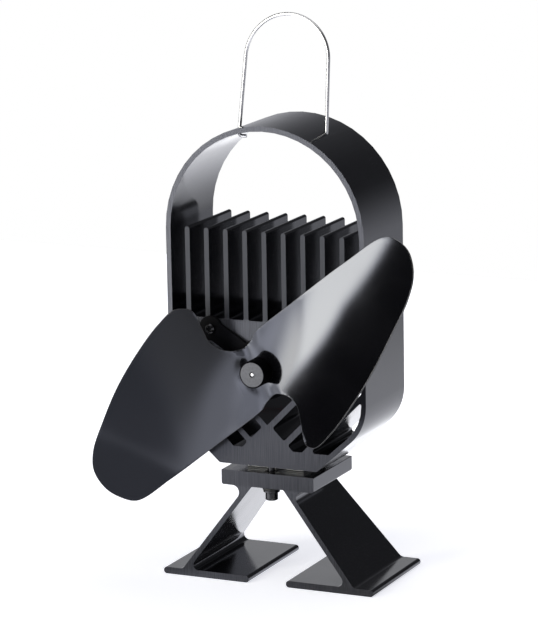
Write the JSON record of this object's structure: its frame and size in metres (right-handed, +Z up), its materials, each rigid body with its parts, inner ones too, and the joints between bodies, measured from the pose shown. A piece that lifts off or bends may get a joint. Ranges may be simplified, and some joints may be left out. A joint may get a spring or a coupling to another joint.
{
  "type": "stove fan",
  "caption": "Heat-powered stove-top fan: a finned arch-shaped heat sink on a splayed stand, a small motor behind a broad two-lobed blade, and a wire carrying handle.",
  "frame": {"origin": "on the floor under the middle of the whole fan's box, so the soles of both feet are at height zero", "axes": "+Z up, +X to the right as seen from the front, -Y to the front, where the blade is"},
  "size_m": [0.1918, 0.0934, 0.3106],
  "materials": {
    "black_anodised": "satin black anodised extrusion with fine brushing",
    "blade_black": "satin black anodised sheet",
    "hub_grey": "satin turned",
    "polished_steel": "polished wire",
    "zinc_steel": "bright zinc",
    "black_steel": "satin black",
    "can_steel": "drawn steel",
    "core_steel": "laminated",
    "ferrite": "matte",
    "copper": "enamelled copper",
    "bronze": "sintered bronze",
    "brass": "plain",
    "carbon": "matte carbon",
    "white_ceramic": "matte ceramic",
    "pellet_grey": "matte",
    "white_silicone": "matte",
    "black_plastic": "matte moulded",
    "red_sleeve": "smooth",
    "black_sleeve": "smooth"
  },
  "bodies": {
    "frame": {"base_stand": "black_anodised", "heat_sink": "black_anodised", "module_hot_plate": "white_ceramic", "module_cold_plate": "white_ceramic", "module_pellets": "pellet_grey", "module_seal": "white_silicone", "clamp_screw_front": "black_steel", "clamp_screw_rear": "black_steel", "clamp_washer_front": "zinc_steel", "clamp_washer_rear": "zinc_steel", "clamp_bush_front": "black_plastic", "clamp_bush_rear": "black_plastic", "motor_bracket": "black_steel", "bracket_screw_left": "zinc_steel", "bracket_screw_right": "zinc_steel", "motor_screw_left": "zinc_steel", "motor_screw_right": "zinc_steel", "motor_can": "can_steel", "motor_end_cap": "black_plastic", "front_bearing": "bronze", "rear_bearing": "bronze", "motor_magnet_left": "ferrite", "motor_magnet_right": "ferrite", "brush_left": "carbon", "brush_right": "carbon", "motor_terminal_left": "brass", "motor_terminal_right": "brass", "lead_red": "red_sleeve", "lead_black": "black_sleeve"},
    "rotor": {"fan_blade": "blade_black", "hub": "hub_grey", "hub_collar": "hub_grey", "hub_grub_screw": "black_steel", "motor_shaft": "polished_steel", "armature_core": "core_steel", "armature_winding_1": "copper", "armature_winding_2": "copper", "armature_winding_3": "copper", "commutator": "copper"},
    "handle": {"wire_handle": "polished_steel"}
  },
  "joints": [
    {"name": "rotor_spin", "type": "hinge", "parent": "frame", "child": "rotor", "pos_m": [0, -0.02543, 0.1217], "axis": [0, 1, 0], "continuous": true},
    {"name": "handle_swing", "type": "hinge", "parent": "frame", "child": "handle", "pos_m": [0, 0.01002, 0.2467], "axis": [1, 0, 0], "range_deg": [0, 19.8]}
  ]
}
